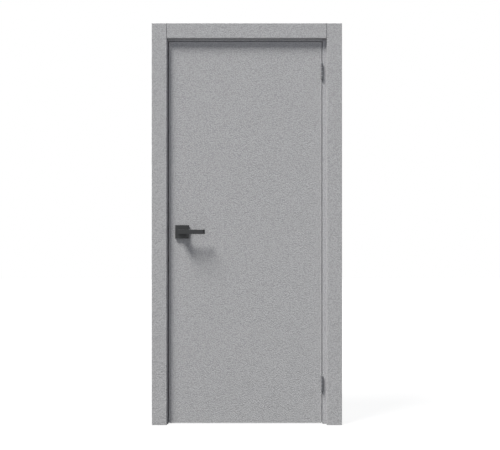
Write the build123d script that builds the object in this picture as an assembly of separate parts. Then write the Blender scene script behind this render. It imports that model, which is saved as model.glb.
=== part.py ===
from build123d import *
import os

# An interior door with a plain flush leaf, hung in a lined doorway.
# Millimetres. X runs right as seen from the side the leaf opens to, Y runs into the wall, Z runs up.
# The origin is the middle of the hinge jamb's foot, on the floor and half way through the wall.

# Leaf
leaf_width = 800
leaf_height = 2000
leaf_thickness = 40
edge_band = 2
leaf_arris = 1
lock_bevel = 2

# Gaps round the closed leaf
lock_gap = 5
hinge_gap = 5
head_gap = 5
floor_gap = 5
seal_gap = 5

# Frame lining
wall_depth = 100
jamb_face = 34
stop_height = 15
arris = 2

# Casings
casing_width = 79
casing_thickness = 16
casing_stand = 9
casing_leg = 12
lock_reveal = 5
hinge_reveal = 21
head_reveal = 11
tongue_thickness = 5
tongue_setback = 4
tongue_depth = 10
groove_clearance = 0.5

# Seals
seal_radius = 3
seal_root_width = 3
seal_root_depth = 6
seal_setback = 5
seal_clearance = 0.2

# Hinges
hinge_height = 82
knuckle_count = 4
knuckle_gap = 2.4
knuckle_rim = 0.5
washer_radius = 5.3
washer_clearance = 0.2
barrel_radius = 5.5
barrel_clearance = 0.5
pin_radius = 3
pin_clearance = 0.05
pin_cap_radius = 4.5
pin_cap_height = 1.5
plate_depth = 30
plate_thickness = 2.5
plate_corner = 3
plate_clearance = 0.2
upper_hinge_drop = 155
lower_hinge_rise = 208

# Handle
backset = 68
handle_rise = 1005
rosette_side = 70
rosette_thickness = 13
rosette_bevel = 1.5
lever_length = 140
lever_height = 23
lever_thickness = 12
lever_reach = 60
lever_heel = 18
lever_tip_bevel = 9
lever_arris = 1
neck_width = 30
neck_radius = 8
lever_gap = 1
collar_radius = 9
collar_depth = 6
collar_clearance = 0.3
spindle_side = 8
spindle_grip = 25
spindle_clearance = 0.05
spindle_bore_radius = 10

# Latch and strike
faceplate_height = 180
faceplate_width = 20
faceplate_thickness = 3
latch_height = 44
latch_width = 12
latch_depth = 18
latch_clearance = 0.3
latch_drop = 70
strike_margin = 2
strike_thickness = 2
pocket_margin = 3
pocket_depth = 14

# Places worked out from the sizes above
jamb_depth = wall_depth - 2 * casing_stand
front = -jamb_depth / 2
back = jamb_depth / 2
leaf_back = front + leaf_thickness
stop_front = leaf_back + seal_radius + seal_gap

hinge_rebate = -jamb_face / 2
hinge_wall = jamb_face / 2
leaf_right = hinge_rebate - hinge_gap
leaf_left = leaf_right - leaf_width
lock_rebate = leaf_left - lock_gap
lock_wall = lock_rebate - jamb_face
opening_left = lock_rebate + stop_height
opening_right = hinge_rebate - stop_height

leaf_foot = floor_gap
leaf_head = leaf_foot + leaf_height
head_rebate = leaf_head + head_gap
head_wall = head_rebate + jamb_face
opening_head = head_rebate - stop_height

casing_left = lock_rebate - lock_reveal
casing_right = hinge_rebate + hinge_reveal
casing_head = head_rebate + head_reveal
casing_top = casing_head + casing_width
casing_front = casing_stand + casing_thickness

axis_x = hinge_rebate - hinge_gap / 2
axis_y = front - barrel_radius - barrel_clearance
hinge_places = {
    "upper": leaf_head - upper_hinge_drop,
    "lower": leaf_foot + lower_hinge_rise,
}

spindle_x = leaf_left + backset
spindle_z = leaf_foot + handle_rise
latch_z = spindle_z - latch_drop
latch_y = front + leaf_thickness / 2


def block(x_ends, y_ends, z_ends):
    """A box between two ends on each axis."""
    box = Box(
        x_ends[1] - x_ends[0],
        y_ends[1] - y_ends[0],
        z_ends[1] - z_ends[0],
        align=(Align.MIN, Align.MIN, Align.MIN),
    )
    return Pos(x_ends[0], y_ends[0], z_ends[0]) * box


def upright(outline, foot, head):
    """Raise a plan outline of (x, y) corners from foot to head."""
    return Pos(0, 0, foot) * extrude(Polygon(*outline, align=None), head - foot, dir=(0, 0, 1))


def lengthwise(outline, left, right):
    """Run a section of (y, z) corners from left to right."""
    face = Plane.YZ * Polygon(*outline, align=None)
    return Pos(left, 0, 0) * extrude(face, right - left, dir=(1, 0, 0))


def edges_at(piece, direction, where, level):
    """Edges along one axis that lie at a level on another axis."""
    return piece.edges().filter_by(direction).filter_by_position(where, level - 0.01, level + 0.01)


# Frame lining: the side jambs run to the top, and the head jamb fits between them


def jamb_outline(rebate, wall, side):
    """Plan of a side jamb; side is the way from its rebate to the opening, 1 or -1."""
    stop = rebate + side * stop_height
    return [
        (wall, front),
        (rebate - side * arris, front),
        (rebate, front + arris),
        (rebate, stop_front),
        (stop - side * arris, stop_front),
        (stop, stop_front + arris),
        (stop, back - arris),
        (stop - side * arris, back),
        (wall, back),
    ]


def tongue_groove(inner, away):
    """Ends of the groove for a casing's tongue, across the jamb's face."""
    near = inner + away * (tongue_setback - groove_clearance)
    far = inner + away * (tongue_setback + tongue_thickness + groove_clearance)
    return sorted((near, far))


def groove_depths():
    """Front and back grooves, as pairs of Y ends."""
    depth = tongue_depth + groove_clearance
    return (front, front + depth), (back - depth, back)


def seal_line(stop, away):
    """Middle of a seal, set back from the edge of its stop."""
    return stop + away * seal_setback


def seal_kerf(middle):
    """Ends of the slot that takes a seal's root."""
    half = seal_root_width / 2
    return middle - half, middle + half


def side_jamb(rebate, wall, casing_inner, side):
    """One side jamb with its stop, casing grooves and seal slot."""
    jamb = upright(jamb_outline(rebate, wall, side), 0, head_wall)
    for depths in groove_depths():
        jamb -= block(tongue_groove(casing_inner, -side), depths, (0, head_wall))
    middle = seal_line(rebate + side * stop_height, -side)
    kerf = (stop_front, stop_front + seal_root_depth)
    return jamb - block(seal_kerf(middle), kerf, (0, opening_head + seal_setback))


def hinge_jamb():
    """The jamb that carries the hinges, let in for their plates."""
    jamb = side_jamb(hinge_rebate, hinge_wall, casing_right, -1)
    for height in hinge_places.values():
        jamb -= plate_recess(hinge_rebate, hinge_rebate + plate_thickness, height)
    return jamb


def lock_jamb():
    """The jamb that takes the latch, let in for the strike plate and its pocket."""
    jamb = side_jamb(lock_rebate, lock_wall, casing_left, 1)
    recess = block(
        (lock_rebate - strike_thickness, lock_rebate),
        strike_depths(),
        strike_heights(),
    )
    pocket = block(
        (lock_rebate - strike_thickness - pocket_depth, lock_rebate),
        pocket_depths(),
        pocket_heights(),
    )
    return jamb - recess - pocket


def head_jamb():
    """The head: its rebate reaches the side rebates, and its stop fits between the side stops."""
    rebate = lengthwise(
        [
            (front, head_wall),
            (front, head_rebate + arris),
            (front + arris, head_rebate),
            (stop_front, head_rebate),
            (stop_front, head_wall),
        ],
        lock_rebate,
        hinge_rebate,
    )
    stop = lengthwise(
        [
            (stop_front, head_wall),
            (stop_front, opening_head + arris),
            (stop_front + arris, opening_head),
            (back - arris, opening_head),
            (back, opening_head + arris),
            (back, head_wall),
        ],
        opening_left,
        opening_right,
    )
    head = rebate + stop
    for depths in groove_depths():
        head -= block((lock_rebate, hinge_rebate), depths, tongue_groove(casing_head, 1))
    kerf = (stop_front, stop_front + seal_root_depth)
    middle = seal_line(opening_head, 1)
    return head - block((opening_left, opening_right), kerf, seal_kerf(middle))


# Casings: an L section whose leg meets the jamb and whose tongue enters its groove


def casing_outline(place):
    """The section's corners; place turns (outward, forward) into model coordinates."""
    tongue_end = tongue_setback + tongue_thickness
    corners = [
        (0, 0),
        (0, casing_front - arris),
        (arris, casing_front),
        (casing_width - arris, casing_front),
        (casing_width, casing_front - arris),
        (casing_width, casing_stand),
        (casing_leg, casing_stand),
        (casing_leg, 0),
        (tongue_end, 0),
        (tongue_end, -tongue_depth),
        (tongue_setback, -tongue_depth),
        (tongue_setback, 0),
    ]
    return [place(outward, forward) for outward, forward in corners]


def side_casing(inner, away, face, towards):
    """A casing leg, floor to top; towards is the way it stands out from the jamb face."""
    outline = casing_outline(lambda out, fwd: (inner + away * out, face + towards * fwd))
    casing = upright(outline, 0, casing_top)
    widths = sorted((inner, inner + away * casing_leg))
    depths = sorted((face + towards * casing_stand, face - towards * tongue_depth))
    casing -= block(widths, depths, (head_wall, casing_top))
    ends = edges_at(casing, Axis.X, Axis.Y, face + towards * casing_front)
    return chamfer(ends.sort_by(Axis.Z)[-1], arris)


def head_casing(face, towards, tongue_ends):
    """The casing over the doorway, butted between the two legs; its tongue spans the head jamb."""
    outline = casing_outline(lambda out, fwd: (face + towards * fwd, casing_head + out))
    casing = lengthwise(outline, casing_left, casing_right)
    depths = sorted((face, face - towards * tongue_depth))
    for ends in ((casing_left, tongue_ends[0]), (tongue_ends[1], casing_right)):
        casing -= block(ends, depths, (casing_head, casing_top))
    ends = edges_at(casing, Axis.Z, Axis.Y, face + towards * casing_front)
    return chamfer(ends, arris)


# Seals: a half round bulb on a root pressed into the stop


def seal_section():
    """The seal's section, bulb forward, drawn with the stop's face at zero."""
    bulb = Circle(seal_radius) & Pos(0, -seal_radius) * Rectangle(4 * seal_radius, 2 * seal_radius)
    root_width = seal_root_width - 2 * seal_clearance
    root = Pos(0, seal_root_depth / 2) * Rectangle(root_width, seal_root_depth)
    return bulb + root


def side_seal(stop, away):
    """A seal up one side jamb, to the underside of the head seal."""
    length = opening_head + seal_setback - seal_radius
    face = Pos(seal_line(stop, away), stop_front) * seal_section()
    return extrude(face, length, dir=(0, 0, 1))


def head_seal():
    """The seal along the head, from stop to stop."""
    place = Pos(stop_front, seal_line(opening_head, 1)) * Rot(0, 0, -90)
    face = Plane.YZ * (place * seal_section())
    return Pos(opening_left, 0, 0) * extrude(face, opening_right - opening_left, dir=(1, 0, 0))


# Hinges


def plate_recess(x_low, x_high, height):
    """The space let in for one hinge plate, with its fitting clearance."""
    half = hinge_height / 2 + plate_clearance
    depths = (front, front + plate_depth + plate_clearance)
    return block((x_low, x_high), depths, (height - half, height + half))


def knuckle_ends(number, height):
    """Lower and upper end of one knuckle, counted from the bottom."""
    pitch = hinge_height / knuckle_count
    foot = height - hinge_height / 2 + number * pitch
    return foot + knuckle_gap / 2, foot + pitch - knuckle_gap / 2


def hinge_half(x_low, x_high, height, first):
    """One plate of a hinge with every second knuckle, starting at the one numbered first."""
    half = hinge_height / 2
    plate = block((x_low, x_high), (front, front + plate_depth), (height - half, height + half))
    corners = edges_at(plate, Axis.X, Axis.Y, front + plate_depth)
    plate = fillet(corners, plate_corner)
    for number in range(first, knuckle_count, 2):
        foot, head = knuckle_ends(number, height)
        barrel = Cylinder(barrel_radius, head - foot)
        barrel = chamfer(barrel.edges().filter_by(GeomType.CIRCLE), knuckle_rim)
        neck = block((x_low, x_high), (axis_y, front), (foot + knuckle_rim, head - knuckle_rim))
        plate += Pos(axis_x, axis_y, (foot + head) / 2) * barrel
        plate += neck
    bore = Cylinder(pin_radius + pin_clearance, 2 * hinge_height)
    return plate - Pos(axis_x, axis_y, height) * bore


def hinge_washer(number, height):
    """The bearing washer in the gap over one knuckle."""
    middle = knuckle_ends(number, height)[1] + knuckle_gap / 2
    thickness = knuckle_gap - 2 * washer_clearance
    ring = Cylinder(washer_radius, thickness) - Cylinder(pin_radius + pin_clearance, thickness)
    return Pos(axis_x, axis_y, middle) * ring


def hinge_pin(height):
    """The pin through all the knuckles, with a turned cap at each end."""
    pin = Pos(axis_x, axis_y, height) * Cylinder(pin_radius, hinge_height)
    for end in (-1, 1):
        middle = height + end * (hinge_height + pin_cap_height) / 2
        cap = Pos(axis_x, axis_y, middle) * Cylinder(pin_cap_radius, pin_cap_height)
        rim = cap.edges().filter_by(GeomType.CIRCLE).sort_by(Axis.Z)
        outer = rim[-1] if end > 0 else rim[0]
        pin += chamfer(outer, pin_cap_height / 2)
    return pin


# Leaf


def lock_edge_x(depth):
    """X of the bevelled lock edge at one depth in the leaf."""
    return leaf_left + lock_bevel * (depth - front) / leaf_thickness


def leaf_plan(inset_left, inset_right):
    """Plan of the leaf, drawn in by an inset at each side edge."""
    return [
        (lock_edge_x(front) + inset_left, front),
        (leaf_right - inset_right, front),
        (leaf_right - inset_right, leaf_back),
        (lock_edge_x(leaf_back) + inset_left, leaf_back),
    ]


def lock_strip(inset, thickness, width, middle):
    """Plan of a strip let into the lock edge, parallel to its bevel."""
    near = middle - width / 2
    far = middle + width / 2
    return [
        (lock_edge_x(near) + inset, near),
        (lock_edge_x(near) + inset + thickness, near),
        (lock_edge_x(far) + inset + thickness, far),
        (lock_edge_x(far) + inset, far),
    ]


def whole_leaf():
    """The leaf in one, with its arrises and everything let into it, before it is parted."""
    leaf = upright(leaf_plan(0, 0), leaf_foot, leaf_head)
    faces = leaf.faces().sort_by(Axis.Y)
    leaf = chamfer(faces[0].edges() + faces[-1].edges(), leaf_arris)
    for height in hinge_places.values():
        leaf -= plate_recess(leaf_right - plate_thickness, leaf_right, height)
    fit = latch_clearance
    mortise = lock_strip(-1, faceplate_thickness + 1, faceplate_width + 2 * fit, latch_y)
    half = faceplate_height / 2 + fit
    leaf -= upright(mortise, latch_z - half, latch_z + half)
    pocket = lock_strip(0, latch_depth, latch_width + 2 * fit, latch_y)
    half = latch_height / 2 + fit
    leaf -= upright(pocket, latch_z - half, latch_z + half)
    bore = Rot(90, 0, 0) * Cylinder(spindle_bore_radius, 2 * leaf_thickness)
    return leaf - Pos(spindle_x, latch_y, spindle_z) * bore


def leaf_pieces():
    """The slab and the four edge bands, cut from the whole leaf."""
    leaf = whole_leaf()
    low = leaf_foot + edge_band
    high = leaf_head - edge_band
    core = leaf_plan(edge_band, edge_band)
    lock_side = leaf_plan(0, leaf_width - edge_band)
    lock_side = [lock_side[0], core[0], core[3], lock_side[3]]
    hinge_side = (leaf_right - edge_band, leaf_right)
    thickness = (front, leaf_back)
    return {
        "leaf_slab": leaf & upright(core, low, high),
        "top_edge_band": leaf & upright(core, high, leaf_head),
        "bottom_edge_band": leaf & upright(core, leaf_foot, low),
        "lock_edge_band": leaf & upright(lock_side, leaf_foot, leaf_head),
        "hinge_edge_band": leaf & block(hinge_side, thickness, (leaf_foot, leaf_head)),
    }


# Latch and strike


def lock_faceplate():
    """The plate let into the lock edge, with the window that the latch shows in."""
    half = faceplate_height / 2
    outline = lock_strip(0, faceplate_thickness, faceplate_width, latch_y)
    plate = upright(outline, latch_z - half, latch_z + half)
    half = latch_height / 2 + latch_clearance
    width = latch_width + 2 * latch_clearance
    window = lock_strip(-1, faceplate_thickness + 2, width, latch_y)
    return plate - upright(window, latch_z - half, latch_z + half)


def latch():
    """The magnetic latch bolt, drawn back flush with its plate."""
    half = latch_height / 2
    outline = lock_strip(latch_clearance, latch_depth - latch_clearance, latch_width, latch_y)
    return upright(outline, latch_z - half, latch_z + half)


def strike_depths():
    """Front and back edge of the strike plate, across the rebate."""
    half = faceplate_width / 2 + strike_margin
    return latch_y - half, latch_y + half


def strike_heights():
    """Foot and head of the strike plate."""
    half = faceplate_height / 2
    return latch_z - half, latch_z + half


def pocket_depths():
    """Front and back of the pocket that the latch enters."""
    half = latch_width / 2 + pocket_margin
    return latch_y - half, latch_y + half


def pocket_heights():
    """Foot and head of the pocket that the latch enters."""
    half = latch_height / 2 + pocket_margin
    return latch_z - half, latch_z + half


def strike_plate():
    """The plate in the lock jamb's rebate, open over its pocket."""
    thickness = (lock_rebate - strike_thickness, lock_rebate)
    plate = block(thickness, strike_depths(), strike_heights())
    return plate - block(thickness, pocket_depths(), pocket_heights())


# Handle: a square rose and an L-shaped lever on each face, on one square spindle


def rosette(face, towards):
    """A square rose on one face of the leaf, bored for the lever's collar."""
    rose = extrude(Rectangle(rosette_side, rosette_side), rosette_thickness)
    rim = rose.faces().sort_by(Axis.Z)[-1].edges()
    rose = chamfer(rim, rosette_bevel)
    rose -= Cylinder(collar_radius + collar_clearance, 4 * rosette_thickness)
    turn = 90 if towards < 0 else -90
    return Pos(spindle_x, face, spindle_z) * (Rot(turn, 0, 0) * rose)


def lever_plan():
    """Plan of the lever seen from above, forward up, with the spindle on the left."""
    root = rosette_thickness + lever_gap
    tip = lever_length - lever_heel
    inner = lever_reach - lever_thickness
    bar = Pos((tip - lever_heel) / 2, lever_reach - lever_thickness / 2)
    bar *= Rectangle(lever_length, lever_thickness)
    neck_middle = neck_width / 2 - lever_heel
    neck = Pos(neck_middle, (root + lever_reach) / 2) * Rectangle(neck_width, lever_reach - root)
    plan = bar + neck
    corners = plan.vertices()
    nose = corners.sort_by_distance((tip, lever_reach, 0))[0]
    plan = chamfer(nose, lever_tip_bevel)
    elbow = plan.vertices().sort_by_distance((neck_width - lever_heel, inner, 0))[0]
    return fillet(elbow, neck_radius)


def lever_body():
    """The lever about its spindle, standing forward along +Y."""
    body = extrude(lever_plan(), lever_height / 2, both=True)
    rims = body.faces().filter_by(Axis.Z)
    edges = rims[0].edges() + rims[-1].edges()
    body = chamfer(edges, lever_arris)
    root = rosette_thickness + lever_gap
    collar = Rot(90, 0, 0) * Cylinder(collar_radius, collar_depth)
    body += Pos(0, root - collar_depth / 2, 0) * collar
    socket = spindle_side + 2 * spindle_clearance
    depths = (root - collar_depth, root + spindle_grip)
    return body - block((-socket / 2, socket / 2), depths, (-socket / 2, socket / 2))


def lever(face, towards):
    """A lever on one face of the leaf, pointing to the hinges."""
    body = lever_body()
    if towards < 0:
        body = mirror(body, Plane.XZ)
    return Pos(spindle_x, face, spindle_z) * body


def spindle():
    """The square bar that both levers grip."""
    half = spindle_side / 2
    end = rosette_thickness + lever_gap + spindle_grip
    across = (spindle_x - half, spindle_x + half)
    return block(across, (front - end, leaf_back + end), (spindle_z - half, spindle_z + half))


def all_pieces():
    """Every piece of the door by name."""
    pieces = {
        "hinge_jamb": hinge_jamb(),
        "lock_jamb": lock_jamb(),
        "head_jamb": head_jamb(),
        "lock_seal": side_seal(opening_left, -1),
        "hinge_seal": side_seal(opening_right, 1),
        "head_seal": head_seal(),
        "strike_plate": strike_plate(),
        "lock_faceplate": lock_faceplate(),
        "latch": latch(),
        "spindle": spindle(),
    }
    rebates = (lock_rebate, hinge_rebate)
    stops = (opening_left, opening_right)
    for name, face, towards, ends in (("front", front, -1, rebates), ("back", back, 1, stops)):
        pieces[name + "_casing_left"] = side_casing(casing_left, -1, face, towards)
        pieces[name + "_casing_right"] = side_casing(casing_right, 1, face, towards)
        pieces[name + "_casing_head"] = head_casing(face, towards, ends)
    for name, face, towards in (("front", front, -1), ("back", leaf_back, 1)):
        pieces[name + "_rosette"] = rosette(face, towards)
        pieces[name + "_lever"] = lever(face, towards)
    for name, height in hinge_places.items():
        jamb_side = (hinge_rebate, hinge_rebate + plate_thickness)
        leaf_side = (leaf_right - plate_thickness, leaf_right)
        pieces[name + "_hinge_jamb_half"] = hinge_half(*jamb_side, height, 0)
        pieces[name + "_hinge_leaf_half"] = hinge_half(*leaf_side, height, 1)
        pieces[name + "_hinge_pin"] = hinge_pin(height)
        for number in range(knuckle_count - 1):
            pieces[f"{name}_hinge_washer_{number + 1}"] = hinge_washer(number, height)
    pieces.update(leaf_pieces())
    return pieces


os.makedirs("parts", exist_ok=True)
for name, piece in all_pieces().items():
    export_step(piece, f"parts/{name}.step")
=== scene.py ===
import bpy
import bmesh
from math import cos, pi, radians, sin
from mathutils import Matrix, Vector


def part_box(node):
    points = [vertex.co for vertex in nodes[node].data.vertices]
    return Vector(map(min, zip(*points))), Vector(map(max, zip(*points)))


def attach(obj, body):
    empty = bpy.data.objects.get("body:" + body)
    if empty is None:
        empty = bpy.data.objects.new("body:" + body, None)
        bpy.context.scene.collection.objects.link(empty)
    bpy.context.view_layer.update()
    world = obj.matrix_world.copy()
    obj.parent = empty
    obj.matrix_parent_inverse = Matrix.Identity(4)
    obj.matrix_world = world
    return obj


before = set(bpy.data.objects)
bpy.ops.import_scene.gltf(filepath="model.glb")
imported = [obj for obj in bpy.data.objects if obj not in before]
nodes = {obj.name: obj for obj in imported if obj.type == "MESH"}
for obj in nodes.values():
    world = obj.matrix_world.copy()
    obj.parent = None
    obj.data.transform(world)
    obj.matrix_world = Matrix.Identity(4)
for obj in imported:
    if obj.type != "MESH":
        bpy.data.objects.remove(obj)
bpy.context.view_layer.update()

# %% [markdown]
# A plain interior door is a good first lesson in materials, because nearly all of it is one finish: a grey
# textured film wrapped over board. The construction comes from the frame, already at its real size, so this
# lesson only dresses it: it sets the camera and the light, gives every piece its finish, and adds the small
# screws that hold the fittings. We work in metres, with X to the right, Y into the wall and Z up. The sizes of
# patterns and screws are written in millimetres of the real door.

# %% Helpers for sizes and colours
MM = 0.001


def linear(hex_colour):
    """An sRGB hex colour as the linear RGBA that a shader takes."""
    channels = [int(hex_colour[i:i + 2], 16) / 255 for i in (1, 3, 5)]
    curve = [c / 12.92 if c <= 0.04045 else ((c + 0.055) / 1.055) ** 2.4 for c in channels]
    return (*curve, 1.0)


print("pieces in the frame:", len(nodes))

# %% [markdown]
# The photograph is taken from straight in front, level, with a fairly long lens: the casings' edges stay
# upright and parallel. A level camera half way up the door gives that without any shift. We place it by
# asking which point of the casings' front lies in the middle of the picture, and how many millimetres
# one pixel covers there; the lens then follows from the distance.

# %% Camera
PICTURE_WIDTH = 500
PICTURE_HEIGHT = 450
MM_PER_PIXEL = 5.222
DOOR_MIDDLE_PIXEL = 246.82
FLOOR_PIXEL = 425.2
DISTANCE = 4.5
SENSOR_WIDTH = 36

left_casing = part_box("front_casing_left")
right_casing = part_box("front_casing_right")
casing_face = left_casing[0].y
door_middle = (left_casing[0].x + right_casing[1].x) / 2
camera_x = door_middle + (PICTURE_WIDTH / 2 - DOOR_MIDDLE_PIXEL) * MM_PER_PIXEL * MM
camera_z = (FLOOR_PIXEL - PICTURE_HEIGHT / 2) * MM_PER_PIXEL * MM

camera_data = bpy.data.cameras.new("camera")
camera_data.sensor_fit = "HORIZONTAL"
camera_data.sensor_width = SENSOR_WIDTH
camera_data.lens = SENSOR_WIDTH * DISTANCE / (PICTURE_WIDTH * MM_PER_PIXEL * MM)
camera = bpy.data.objects.new("camera", camera_data)
camera.location = (camera_x, casing_face - DISTANCE, camera_z)
camera.rotation_euler = (pi / 2, 0, 0)
bpy.context.scene.collection.objects.link(camera)
bpy.context.scene.camera = camera
print("lens in mm:", round(camera_data.lens, 1), "camera height in m:", round(camera_z, 3))

# %% [markdown]
# One soft lamp stands high on the left, and two weaker lights fill its shadows. Under the head casing the
# shadow reaches twice as far down the leaf as it does to the right beside the left casing, so for every
# unit into the wall the light falls a little over one unit right and two and a half down. A sun lamp has the
# same direction everywhere, which suits a tall flat object, and its angle sets how soft the shadow's edge is.
# The shadows have an even tone right into the corners. Only light from the camera's side reaches in there,
# so the first fill is a very broad lamp from the front, and the room gives the rest. Together they light the
# leaf to a level of about one, so that colours render as they are written. A second broad fill lights the
# back, which the picture never sees.

# %% Light
KEY_TRAVEL = (1.23, 1.0, -2.5)
KEY_LEVEL = 0.65
KEY_ANGLE = 20
FRONT_TRAVEL = (0.0, 1.0, 0.0)
FRONT_LEVEL = 0.21
BACK_TRAVEL = (0.3, -1.0, -0.8)
BACK_LEVEL = 0.6
FILL_ANGLE = 90


def add_sun(name, travel, level, angle, hex_colour):
    """A sun lamp whose light travels one way and lights the face that it reaches to a level."""
    travel = Vector(travel).normalized()
    data = bpy.data.lights.new(name, "SUN")
    data.angle = radians(angle)
    data.energy = level * pi / abs(travel.y)
    data.color = linear(hex_colour)[:3]
    lamp = bpy.data.objects.new(name, data)
    lamp.rotation_euler = travel.to_track_quat("-Z", "Y").to_euler()
    bpy.context.scene.collection.objects.link(lamp)
    print(name, "strength:", round(data.energy, 2))


add_sun("key_lamp", KEY_TRAVEL, KEY_LEVEL, KEY_ANGLE, "#FFFEFA")
add_sun("front_fill", FRONT_TRAVEL, FRONT_LEVEL, FILL_ANGLE, "#EEF3FF")
add_sun("back_fill", BACK_TRAVEL, BACK_LEVEL, FILL_ANGLE, "#FAFBFF")


# %% [markdown]
# Every material here is a small network of shader nodes. One helper is enough to write them all: it adds a
# node, sets its options and plain values, and links its inputs to the outputs of earlier nodes. Inputs go by
# name, or by number where several share one. A Mix node has sockets for each kind of data, so the two inputs
# and the output that carry colours get names of their own.

# %% Helpers for shader nodes
COLOUR_A = 6
COLOUR_B = 7
MIXED_COLOUR = 2


def add(tree, kind, options=None, values=None, links=None):
    """Add a node with its options, its inputs' values and its inputs' links."""
    node = tree.nodes.new(kind)
    for name, value in (options or {}).items():
        setattr(node, name, value)
    for name, value in (values or {}).items():
        node.inputs[name].default_value = value
    for name, source in (links or {}).items():
        tree.links.new(source, node.inputs[name])
    return node


def new_material(name):
    """An empty node material."""
    material = bpy.data.materials.new(name)
    material.use_nodes = True
    material.node_tree.nodes.clear()
    return material, material.node_tree


print("colour sockets of a Mix node:", COLOUR_A, COLOUR_B, "to", MIXED_COLOUR)

# %% [markdown]
# The room itself is white where the camera or a reflection looks at it, and dimmer as a source of light,
# with a trace of blue that shows in the shadows. Light Path tells the two apart.

# %% Room
ROOM_LEVEL = 0.125
ROOM_TINT = linear("#E8EEFF")
FULL_WHITE = {"Color": (1, 1, 1, 1), "Strength": 1.0}


def seen_directly(tree):
    """One for a camera's look, straight, in a reflection or through glass, and nought for other light."""
    path = add(tree, "ShaderNodeLightPath")
    seen = path.outputs["Is Camera Ray"]
    for ray in ("Is Glossy Ray", "Is Transmission Ray"):
        either = add(tree, "ShaderNodeMath", {"operation": "ADD", "use_clamp": True},
                     links={0: seen, 1: path.outputs[ray]})
        seen = either.outputs[0]
    return seen


world = bpy.data.worlds.new("room")
world.use_nodes = True
bpy.context.scene.world = world
tree = world.node_tree
tree.nodes.clear()
fill = add(tree, "ShaderNodeBackground", values={"Color": ROOM_TINT, "Strength": ROOM_LEVEL})
white = add(tree, "ShaderNodeBackground", values=FULL_WHITE)
room = add(tree, "ShaderNodeMixShader",
           links={0: seen_directly(tree), 1: fill.outputs[0], 2: white.outputs[0]})
add(tree, "ShaderNodeOutputWorld", links={"Surface": room.outputs[0]})
print("room level:", ROOM_LEVEL)

# %% [markdown]
# The floor is a plain white sheet. Seen directly it is bright, and the camera takes nine tenths of it as pure
# white, so that it runs into the white room and keeps only a faint shadow. Light that bounces off it to the
# door comes from a duller colour, because the photographed door is no brighter at its foot than at its head.

# %% Floor
FLOOR_HALF = 12.0
FLOOR_WHITE_SHARE = 0.9
FLOOR_SEEN = linear("#EEEEEE")
FLOOR_BOUNCE = linear("#7A7A7A")

mesh = bpy.data.meshes.new("floor")
corners = [(-1, -1), (1, -1), (1, 1), (-1, 1)]
mesh.from_pydata([(x * FLOOR_HALF, y * FLOOR_HALF, 0) for x, y in corners], [], [(0, 1, 2, 3)])
floor = bpy.data.objects.new("floor", mesh)
bpy.context.scene.collection.objects.link(floor)
material, tree = new_material("matt_white_floor")
seen = seen_directly(tree)
share = add(tree, "ShaderNodeMath", {"operation": "MULTIPLY"}, {1: FLOOR_WHITE_SHARE}, {0: seen})
tint = add(tree, "ShaderNodeMix", {"data_type": "RGBA"},
           {COLOUR_A: FLOOR_BOUNCE, COLOUR_B: FLOOR_SEEN}, {0: seen})
sheet = add(tree, "ShaderNodeBsdfDiffuse", links={"Color": tint.outputs[MIXED_COLOUR]})
white = add(tree, "ShaderNodeEmission", values=FULL_WHITE)
both = add(tree, "ShaderNodeMixShader",
           links={0: share.outputs[0], 1: sheet.outputs[0], 2: white.outputs[0]})
add(tree, "ShaderNodeOutputMaterial", links={"Surface": both.outputs[0]})
mesh.materials.append(material)
print("floor side in m:", 2 * FLOOR_HALF)


# %% [markdown]
# A pattern is laid out on the piece's own coordinates, in metres, so its scale is one over the real size of
# a grain. Nearly every finish here changes between two close tones: a pattern's value runs from the first
# tone to the second between two limits, and is flat outside them.

# %% Patterns in real sizes
def scale_of(size_mm):
    """The scale of a pattern whose grains have a size in millimetres."""
    return 1 / (size_mm * MM)


def two_tones(tree, value, limits, colours):
    """The colour that runs from the first of two to the second as a value passes between its limits."""
    share = add(tree, "ShaderNodeMapRange", values={"From Min": limits[0], "From Max": limits[1]},
                links={"Value": value})
    tones = add(tree, "ShaderNodeMix", {"data_type": "RGBA"},
                {COLOUR_A: linear(colours[0]), COLOUR_B: linear(colours[1])}, {0: share.outputs[0]})
    return tones.outputs[MIXED_COLOUR]


print("scale of a pattern with grains of 1 mm:", round(scale_of(1.0)))


# %% [markdown]
# Leaf, casings and jambs are board, mostly MDF, and only the faces that show are wrapped in film. Toward the
# wall a jamb or casing is bare, so its material turns to raw board, a brown felt of short fibres, where the
# surface faces one given way: the dot product of its normal and that way is then close to one.

# %% Bare board toward the wall
FIBRE = 3.0
FIBRE_DETAIL = 3.0
NOISE_LIMITS = (0.3, 0.7)
BARE_MDF = ("#998A75", "#A69782")
FACING_LIMIT = 0.9


def bare_toward_wall(tree, coordinates, film, wall_side):
    """The film's colour, or raw MDF where the surface faces the wall."""
    fibre = add(tree, "ShaderNodeTexNoise", values={"Scale": scale_of(FIBRE), "Detail": FIBRE_DETAIL},
                links={"Vector": coordinates.outputs["Object"]})
    bare = two_tones(tree, fibre.outputs[0], NOISE_LIMITS, BARE_MDF)
    facing = add(tree, "ShaderNodeVectorMath", {"operation": "DOT_PRODUCT"}, {1: wall_side},
                 {0: coordinates.outputs["Normal"]})
    hidden = add(tree, "ShaderNodeMath", {"operation": "GREATER_THAN"}, {1: FACING_LIMIT},
                 {0: facing.outputs["Value"]})
    covered = add(tree, "ShaderNodeMix", {"data_type": "RGBA"},
                  links={0: hidden.outputs[0], COLOUR_A: film, COLOUR_B: bare})
    return covered.outputs[MIXED_COLOUR]


print("bare board:", *BARE_MDF)


# %% [markdown]
# The casing's head stands between its two sides in plain butt joints. Each is a hair open at the bottom of
# the two arrises, and the shadow in that hairline is painted on the film as a dark line. Two compares find the
# strips beside the two joints, and a third test keeps them above the head's lower edge.

# %% Painted shadow in the joints between the casings
JOINT_HALF_WIDTH = 1.0
# A dark grey, painted in as the shadow in the casing joints.
PAINTED_JOINT_SHADOW = "#2E2E30"


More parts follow.
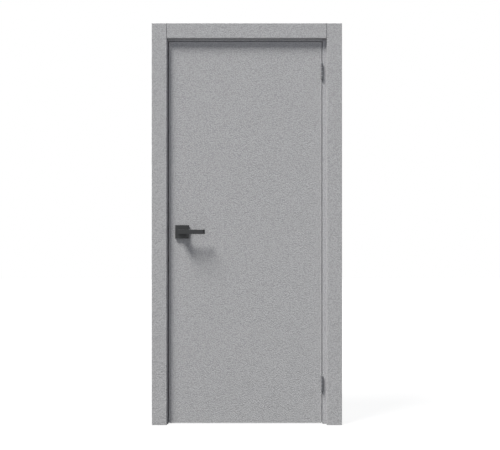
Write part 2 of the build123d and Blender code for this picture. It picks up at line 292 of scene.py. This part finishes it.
def with_painted_joint_shadow(tree, place, film, head):
    """The film's colour, with the shadow in the two joints beside a casing's head painted dark; the head is
    given by its box.
    """
    low, high = head
    axes = add(tree, "ShaderNodeSeparateXYZ", links={0: place})
    strips = []
    for joint_x in (low.x, high.x):
        strip = add(tree, "ShaderNodeMath", {"operation": "COMPARE"},
                    {1: joint_x, 2: JOINT_HALF_WIDTH * MM}, {0: axes.outputs["X"]})
        strips.append(strip.outputs[0])
    either = add(tree, "ShaderNodeMath", {"operation": "ADD"}, links={0: strips[0], 1: strips[1]})
    above = add(tree, "ShaderNodeMath", {"operation": "GREATER_THAN"}, {1: low.z}, {0: axes.outputs["Z"]})
    joints = add(tree, "ShaderNodeMath", {"operation": "MULTIPLY"},
                 links={0: either.outputs[0], 1: above.outputs[0]})
    # Painted shadow: the strips beside the joints take the dark grey.
    shaded = add(tree, "ShaderNodeMix", {"data_type": "RGBA"}, {COLOUR_B: linear(PAINTED_JOINT_SHADOW)},
                 {0: joints.outputs[0], COLOUR_A: film})
    return shaded.outputs[MIXED_COLOUR]


front_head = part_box("front_casing_head")
back_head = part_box("back_casing_head")
print("joints at X in m:", round(front_head[0].x, 3), round(front_head[1].x, 3))


# %% [markdown]
# The film is PVC, embossed with a fine shagreen: low pebbles, a little wider than high, with narrow grooves
# between them. The high lamp picks each one out with a light top and a dark foot, and the grooves are painted
# a darker grey as painted shade. A Voronoi texture gives the pebbles: its distance is nought in the middle of
# a cell and grows toward its neighbours, so the bump is inverted. Plain noise would do too, but it clumps into
# blotches, which the photographed film doesn't have. The real pebbles are one or two millimetres across, less
# than half a pixel here, and would average out to a flat grey, so they are drawn at six and a half
# millimetres, with a relief to match. The matt PVC reflects a little less than its index alone would give.

# %% Embossed film over board
PEBBLE = 6.5
PEBBLE_FLATNESS = 1.4
FINE_GRAIN = 2.2
FINE_SHARE = 0.35
CLOUD = 90.0
CLOUD_SHARE = 0.05
TONE_LIMITS = (0.2, 0.7)
RELIEF = 1.2
FILM_IOR = 1.5
FILM_SPECULAR = 0.35


def film_material(name, greys, roughness, wall_side=None, head=None):
    """PVC film, embossed and matt, on board that may be bare toward the wall and may have painted joint
    shadows.
    """
    material, tree = new_material(name)
    coordinates = add(tree, "ShaderNodeTexCoord")
    place = coordinates.outputs["Object"]
    flattened = add(tree, "ShaderNodeMapping", values={"Scale": (1, 1, PEBBLE_FLATNESS)},
                    links={"Vector": place})
    pebbles = add(tree, "ShaderNodeTexVoronoi", {"feature": "F1"}, {"Scale": scale_of(PEBBLE)},
                  {"Vector": flattened.outputs[0]})
    fine = add(tree, "ShaderNodeTexNoise", values={"Scale": scale_of(FINE_GRAIN), "Detail": 0.0},
               links={"Vector": place})
    cloud = add(tree, "ShaderNodeTexNoise", values={"Scale": scale_of(CLOUD)}, links={"Vector": place})
    height = add(tree, "ShaderNodeMath", {"operation": "MULTIPLY_ADD"}, {1: FINE_SHARE},
                 {0: fine.outputs[0], 2: pebbles.outputs["Distance"]})
    # Painted shade: the grooves come out darker, with a faint random cloud of tone over it.
    tone = add(tree, "ShaderNodeMath", {"operation": "MULTIPLY_ADD"}, {1: CLOUD_SHARE},
               {0: cloud.outputs[0], 2: pebbles.outputs["Distance"]})
    colour = two_tones(tree, tone.outputs[0], TONE_LIMITS, greys)
    if head:
        colour = with_painted_joint_shadow(tree, place, colour, head)
    if wall_side:
        colour = bare_toward_wall(tree, coordinates, colour, wall_side)
    bump = add(tree, "ShaderNodeBump", {"invert": True}, {"Strength": 1.0, "Distance": RELIEF * MM},
               {"Height": height.outputs[0]})
    shader = add(tree, "ShaderNodeBsdfPrincipled",
                 values={"Roughness": roughness, "IOR": FILM_IOR, "Specular IOR Level": FILM_SPECULAR},
                 links={"Base Color": colour, "Normal": bump.outputs[0]})
    add(tree, "ShaderNodeOutputMaterial", links={"Surface": shader.outputs[0]})
    print(name, "pebbles in mm:", PEBBLE, "relief in mm:", RELIEF)
    return material


# %% [markdown]
# Leaf and casings share one grey, and the jambs look a shade paler and smoother in the photograph. Of each
# pair of greys the first is the middle of a pebble and the second the groove, darker as painted shade. The
# wall lies behind the front casings, before the back ones, and outside the three jambs.

# %% Films of leaf, casings and jambs
# The second grey of each pair is painted shade in the grooves.
LEAF_GREYS = ("#B1B1B3", "#959597")
JAMB_GREYS = ("#B4B4B7", "#98989B")
LEAF_ROUGHNESS = 0.62
JAMB_ROUGHNESS = 0.58

leaf_film = film_material("embossed_grey_film_on_leaf", LEAF_GREYS, LEAF_ROUGHNESS)
front_film = film_material("embossed_grey_film_on_front_casings", LEAF_GREYS, LEAF_ROUGHNESS,
                           (0, 1, 0), front_head)
back_film = film_material("embossed_grey_film_on_back_casings", LEAF_GREYS, LEAF_ROUGHNESS,
                          (0, -1, 0), back_head)
hinge_jamb_film = film_material("embossed_grey_film_on_hinge_jamb", JAMB_GREYS, JAMB_ROUGHNESS, (1, 0, 0))
lock_jamb_film = film_material("embossed_grey_film_on_lock_jamb", JAMB_GREYS, JAMB_ROUGHNESS, (-1, 0, 0))
head_jamb_film = film_material("embossed_grey_film_on_head_jamb", JAMB_GREYS, JAMB_ROUGHNESS, (0, 0, 1))


# %% [markdown]
# The handle and the hinges are die-cast and rolled metal under a dark satin powder coat. The coat hides
# the metal, so it is shaded as a paint: no metallic value, a medium roughness that wear changes a little,
# and a very fine orange peel.

# %% Powder-coated metal
ORANGE_PEEL = 0.8
PEEL_DETAIL = 1.0
PEEL_RELIEF = 0.02
PEEL_STRENGTH = 0.6
WEAR = 12.0
WEAR_DETAIL = 3.0
WEAR_HARSHNESS = 0.6
GLOSS_SPREAD = 0.05
COAT_IOR = 1.5
COAT_SPECULAR = 0.38


def coat_material(name, colours, roughness):
    """Dark satin powder coat with a fine orange peel."""
    material, tree = new_material(name)
    place = add(tree, "ShaderNodeTexCoord").outputs["Object"]
    peel = add(tree, "ShaderNodeTexNoise", values={"Scale": scale_of(ORANGE_PEEL), "Detail": PEEL_DETAIL},
               links={"Vector": place})
    wear = add(tree, "ShaderNodeTexNoise",
               values={"Scale": scale_of(WEAR), "Detail": WEAR_DETAIL, "Roughness": WEAR_HARSHNESS},
               links={"Vector": place})
    gloss = add(tree, "ShaderNodeMapRange",
                values={"To Min": roughness - GLOSS_SPREAD, "To Max": roughness + GLOSS_SPREAD},
                links={"Value": wear.outputs[0]})
    bump = add(tree, "ShaderNodeBump", values={"Strength": PEEL_STRENGTH, "Distance": PEEL_RELIEF * MM},
               links={"Height": peel.outputs[0]})
    shader = add(tree, "ShaderNodeBsdfPrincipled",
                 values={"IOR": COAT_IOR, "Specular IOR Level": COAT_SPECULAR},
                 links={"Base Color": two_tones(tree, wear.outputs[0], NOISE_LIMITS, colours),
                        "Roughness": gloss.outputs[0], "Normal": bump.outputs[0]})
    add(tree, "ShaderNodeOutputMaterial", links={"Surface": shader.outputs[0]})
    print(name, "roughness:", roughness, "peel in mm:", ORANGE_PEEL)
    return material


handle_coat = coat_material("graphite_powder_coat_on_zinc_handle", ("#232425", "#28292A"), 0.42)
hinge_coat = coat_material("graphite_powder_coat_on_steel_hinge", ("#5E5F62", "#67686C"), 0.42)
plate_coat = coat_material("graphite_powder_coat_on_lock_plates", ("#3A3B3D", "#404143"), 0.4)


# %% [markdown]
# Some small things remain: the pale ABS bands that line the leaf's edges, the nylon washers that show as pale
# seams between a hinge's knuckles, the soft seals in the stops, extruded from grey TPE, the latch's plastic
# nose, and the drawn steel bar that joins the two levers. The bands are much paler than the film: partly their
# own colour, and partly a painted highlight along the leaf's edges that also lightens the shaded gap beside
# them. All are nearly plain, so one material recipe with a faint change of tone and a trace of relief serves
# them. Only the steel is metallic. The plastics all have an index near 1.5, which is also Blender's own value
# and the one that metal keeps.

# %% Edge bands, washers, seals, latch and spindle
SPECK_STRENGTH = 0.5


def plain_material(name, colours, roughness, speck_mm, relief_mm, metallic=0.0):
    """A small part's finish, with a slight change of tone and relief."""
    material, tree = new_material(name)
    place = add(tree, "ShaderNodeTexCoord").outputs["Object"]
    speck = add(tree, "ShaderNodeTexNoise", values={"Scale": scale_of(speck_mm)}, links={"Vector": place})
    bump = add(tree, "ShaderNodeBump", values={"Strength": SPECK_STRENGTH, "Distance": relief_mm * MM},
               links={"Height": speck.outputs[0]})
    shader = add(tree, "ShaderNodeBsdfPrincipled", values={"Roughness": roughness, "Metallic": metallic},
                 links={"Base Color": two_tones(tree, speck.outputs[0], NOISE_LIMITS, colours),
                        "Normal": bump.outputs[0]})
    add(tree, "ShaderNodeOutputMaterial", links={"Surface": shader.outputs[0]})
    print(name, "roughness:", roughness, "index:", round(shader.inputs["IOR"].default_value, 2))
    return material


# Pale bands: partly their own colour, partly a painted highlight along the leaf's edges.
edge_bands_and_painted_highlight = plain_material("matt_pale_abs_edge_banding_with_painted_highlight", ("#E2E2E4", "#EAEAEC"), 0.5, 4.0, 0.02)
washer_nylon = plain_material("natural_nylon_washers", ("#8C8D90", "#96979A"), 0.45, 2.0, 0.01)
seal_tpe = plain_material("extruded_grey_tpe_seal", ("#8A8A8C", "#929294"), 0.7, 3.0, 0.05)
latch_pom = plain_material("moulded_black_pom_latch", ("#1E1E1F", "#232324"), 0.35, 2.0, 0.01)
spindle_steel = plain_material("drawn_steel_spindle", ("#A9AAAC", "#B4B5B7"), 0.3, 1.0, 0.01, metallic=1.0)

# %% [markdown]
# Each piece of the frame takes its finish by name.

# %% Finishes on the frame's pieces
finishes = [
    (leaf_film, ["leaf_slab"]),
    (edge_bands_and_painted_highlight, [name for name in nodes if name.endswith("edge_band")]),
    (front_film, [name for name in nodes if name.startswith("front_casing")]),
    (back_film, [name for name in nodes if name.startswith("back_casing")]),
    (hinge_jamb_film, ["hinge_jamb"]),
    (lock_jamb_film, ["lock_jamb"]),
    (head_jamb_film, ["head_jamb"]),
    (seal_tpe, [name for name in nodes if name.endswith("seal")]),
    (hinge_coat, [name for name in nodes if "hinge_" in name and name.endswith(("half", "pin"))]),
    (washer_nylon, [name for name in nodes if "washer" in name]),
    (plate_coat, ["lock_faceplate", "strike_plate"]),
    (handle_coat, ["front_rosette", "back_rosette", "front_lever", "back_lever"]),
    (latch_pom, ["latch"]),
    (spindle_steel, ["spindle"]),
]
for material, names in finishes:
    for name in names:
        nodes[name].data.materials.clear()
        nodes[name].data.materials.append(material)
    print(material.name, "on", len(names), "pieces")

# %% [markdown]
# The hinge plates, the lock's faceplate and the strike plate are held by countersunk cross-head screws, which
# come to light when the leaf is opened. The frame's plates are solid, so nothing is cut: we set heads on them
# that stand up by less than half a millimetre, as lens heads do. A head could be a plain disc, but the cross
# is what tells a screw from a rivet. It is built from outlines with equal numbers of corners, so that each can
# be joined to the next by quads. The corners are shared out so that every third one lies on an axis or a
# diagonal of the cross, as it does on the circles.

# %% Outlines of a screw's head
RING_CORNERS = 24
CROSS_REACH = 0.5
CROSS_HALF_WIDTH = 0.13


def cross_outline(scale):
    """The corners of the cross recess, for a head of radius one."""
    reach = CROSS_REACH * scale
    width = CROSS_HALF_WIDTH * scale
    middle = (reach + width) / 2
    arm = [(reach, 0), (reach, width), (middle, width), (width, width), (width, middle), (width, reach)]
    points = []
    for quarter in range(4):
        turn = Matrix.Rotation(quarter * pi / 2, 2)
        points += [turn @ Vector(corner) for corner in arm]
    return points


def circle_outline(scale):
    """As many corners round a circle."""
    angles = [2 * pi * i / RING_CORNERS for i in range(RING_CORNERS)]
    return [Vector((scale * cos(a), scale * sin(a))) for a in angles]


print("corners of the cross and of a circle:", len(cross_outline(1.0)), len(circle_outline(1.0)))


# %% [markdown]
# The head is then a stack of rings: the recess's floor, the recess's rim, three circles over the low dome,
# and a last one that sinks into the plate. Heights are in millimetres above the plate, and widths are shares
# of the head's radius.

# %% Rings of a screw's head
CROWN = 0.45
RIM = 0.12
SINK = 0.3
CROSS_FLOOR = 0.05
CROSS_FLOOR_SHARE = 0.7
DOME_SHARES = (0.62, 0.85, 1.0)


def crowned(point):
    """The height of the dome over a point."""
    return CROWN - (CROWN - RIM) * point.length_squared


def screw_rings():
    """The rings of one head from the recess's floor to its foot, each with its corners and their heights."""
    rings = [(cross_outline(CROSS_FLOOR_SHARE), lambda point: CROSS_FLOOR), (cross_outline(1.0), crowned)]
    rings += [(circle_outline(share), crowned) for share in DOME_SHARES]
    rings.append((circle_outline(1.0), lambda point: -SINK))
    return rings


print("rings in a head:", len(screw_rings()))


# %% [markdown]
# One mesh holds all the heads of a plate. Each head's rings are laid on the plate's face, which looks along
# X, bridged with quads, and closed at both ends by a fan of triangles.

# %% Heads on a plate
def add_head(shape, seat, facing, radius_mm):
    """One screw head in a mesh, on a face that looks toward plus or minus X."""
    loops = []
    for outline, height in screw_rings():
        loop = []
        for point in outline:
            across = point * radius_mm
            loop.append(shape.verts.new(seat + Vector((facing * height(point), across.x, across.y)) * MM))
        loops.append(loop)
    for inner, outer in zip(loops, loops[1:]):
        for i in range(RING_CORNERS):
            j = (i + 1) % RING_CORNERS
            shape.faces.new((inner[i], inner[j], outer[j], outer[i]))
    for loop, height in ((loops[0], CROSS_FLOOR), (loops[-1], -SINK)):
        centre = shape.verts.new(seat + Vector((facing * height, 0, 0)) * MM)
        for i in range(RING_CORNERS):
            shape.faces.new((centre, loop[i], loop[(i + 1) % RING_CORNERS]))


def add_screws(name, middle, facing, places, radius_mm, body, material):
    """Screw heads on a plate, at places given in millimetres along Y and Z from the middle of its face."""
    shape = bmesh.new()
    for place_y, place_z in places:
        add_head(shape, middle + Vector((0, place_y, place_z)) * MM, facing, radius_mm)
    bmesh.ops.recalc_face_normals(shape, faces=shape.faces)
    mesh = bpy.data.meshes.new(name)
    shape.to_mesh(mesh)
    shape.free()
    mesh.materials.append(material)
    screws = bpy.data.objects.new(name, mesh)
    bpy.context.scene.collection.objects.link(screws)
    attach(screws, body)
    print(name, "heads:", len(places), "faces:", len(mesh.polygons))


# %% [markdown]
# On a hinge plate the screws zigzag, so that they don't split the board along one line. The two plates of a
# hinge face each other across the gap beside the leaf, half of it on each side of the pin's axis. The
# knuckles are the widest part of each half, so that axis is in the middle of the half's box.

# %% Screws in the hinge plates
HINGE_GAP = 5.0
PLATE_DEPTH = 30.0
HINGE_SCREW_RADIUS = 3.75
ZIGZAG = [(-4, -28), (4, 0), (-4, 28)]

for hinge in ("upper_hinge", "lower_hinge"):
    for half, side, body in (("leaf_half", -1, "leaf"), ("jamb_half", 1, "frame")):
        low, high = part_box(f"{hinge}_{half}")
        face_x = (low.x + high.x) / 2 + side * HINGE_GAP / 2 * MM
        middle = Vector((face_x, high.y - PLATE_DEPTH / 2 * MM, (low.z + high.z) / 2))
        add_screws(f"{hinge}_{half}_screws", middle, -side, ZIGZAG, HINGE_SCREW_RADIUS, body,
                   hinge_coat)

# %% [markdown]
# The faceplate in the leaf's edge and the strike plate in the jamb have one screw near each end. The
# faceplate looks to the left, so its face is at its box's low X, and the strike plate's is at its high X.

# %% Screws in the lock's plates
LOCK_SCREW_RADIUS = 3.5
PLATE_ENDS = [(0, -82), (0, 82)]

for node, facing, body in (("lock_faceplate", -1, "leaf"), ("strike_plate", 1, "frame")):
    low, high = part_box(node)
    middle = (low + high) / 2
    middle.x = low.x if facing < 0 else high.x
    add_screws(f"{node}_screws", middle, facing, PLATE_ENDS, LOCK_SCREW_RADIUS, body,
               plate_coat)

# %% [markdown]
# The picture is shown with the plain Standard view.

# %% Finish
bpy.context.scene.view_settings.view_transform = "Standard"
